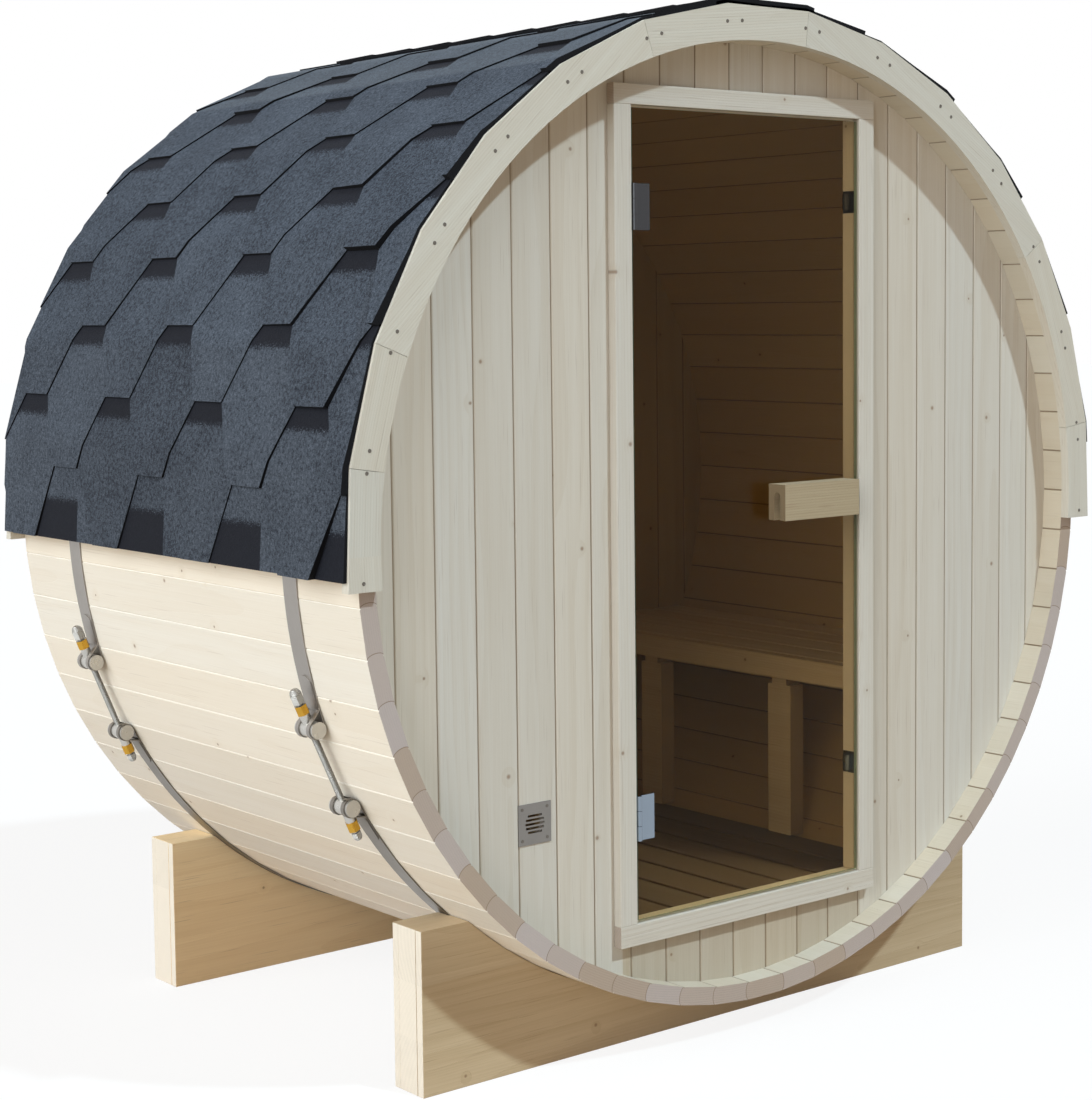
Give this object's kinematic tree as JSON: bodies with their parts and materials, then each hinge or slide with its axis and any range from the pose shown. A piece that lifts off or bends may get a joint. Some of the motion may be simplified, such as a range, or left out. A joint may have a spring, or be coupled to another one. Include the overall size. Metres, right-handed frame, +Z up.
{
  "type": "barrel sauna",
  "caption": "Lying wooden barrel sauna with a recessed board front, bronze glass door, shingled roof, steel hoops with rod clamps and two saddle cradles.",
  "frame": {"origin": "on the ground, under the middle of the barrel", "axes": "+Z up, barrel axis along Y, the door faces -Y and +X is to the right seen from the front"},
  "size_m": [1.9668, 1.29, 2.0006],
  "materials": {
    "staves": "planed pale softwood",
    "wall_boards": "planed pale softwood with knots",
    "trim": "planed pale softwood",
    "cradle_wood": "planed softwood",
    "deck_wood": "sawn softwood",
    "inside_wood": "planed softwood",
    "handle_wood": "oiled light wood",
    "shingle": "mineral granules on bitumen felt",
    "glass": "bronze safety glass",
    "strap_steel": "dull stainless strap",
    "clamp_steel": "bright zinc plate",
    "vent_steel": "brushed stainless",
    "hinge_chrome": "polished"
  },
  "bodies": {
    "sauna": {"staves_01": "staves", "staves_02": "staves", "staves_03": "staves", "staves_04": "staves", "staves_05": "staves", "staves_06": "staves", "staves_07": "staves", "staves_08": "staves", "staves_09": "staves", "staves_10": "staves", "staves_11": "staves", "front_wall_left": "wall_boards", "front_wall_right": "wall_boards", "front_wall_over_door": "wall_boards", "front_wall_under_door": "wall_boards", "rear_wall": "wall_boards", "casing_left": "trim", "casing_right": "trim", "casing_head": "trim", "casing_sill": "trim", "jamb_left": "inside_wood", "jamb_right": "inside_wood", "jamb_head": "inside_wood", "threshold": "inside_wood", "vent_plate": "vent_steel", "gable_boards_front": "trim", "gable_boards_rear": "trim", "roof_deck": "deck_wood", "shingles_left": "shingle", "shingles_right": "shingle", "hoop_front": "strap_steel", "hoop_rear": "strap_steel", "clamp_front": "clamp_steel", "clamp_rear": "clamp_steel", "floor_slats": "inside_wood", "floor_bearers": "inside_wood", "bench_seat": "inside_wood", "bench_frame": "inside_wood", "cradle_front": "cradle_wood", "cradle_rear": "cradle_wood", "hinge_leaves": "hinge_chrome", "door_catches": "hinge_chrome"},
    "door": {"door_glass": "glass", "door_handle": "handle_wood", "hinge_plates": "hinge_chrome"}
  },
  "joints": [
    {"name": "door_swing", "type": "hinge", "parent": "sauna", "child": "door", "pos_m": [-0.301, -0.5965, 1.04], "axis": [0, 0, -1], "range_deg": [0, 110]}
  ]
}
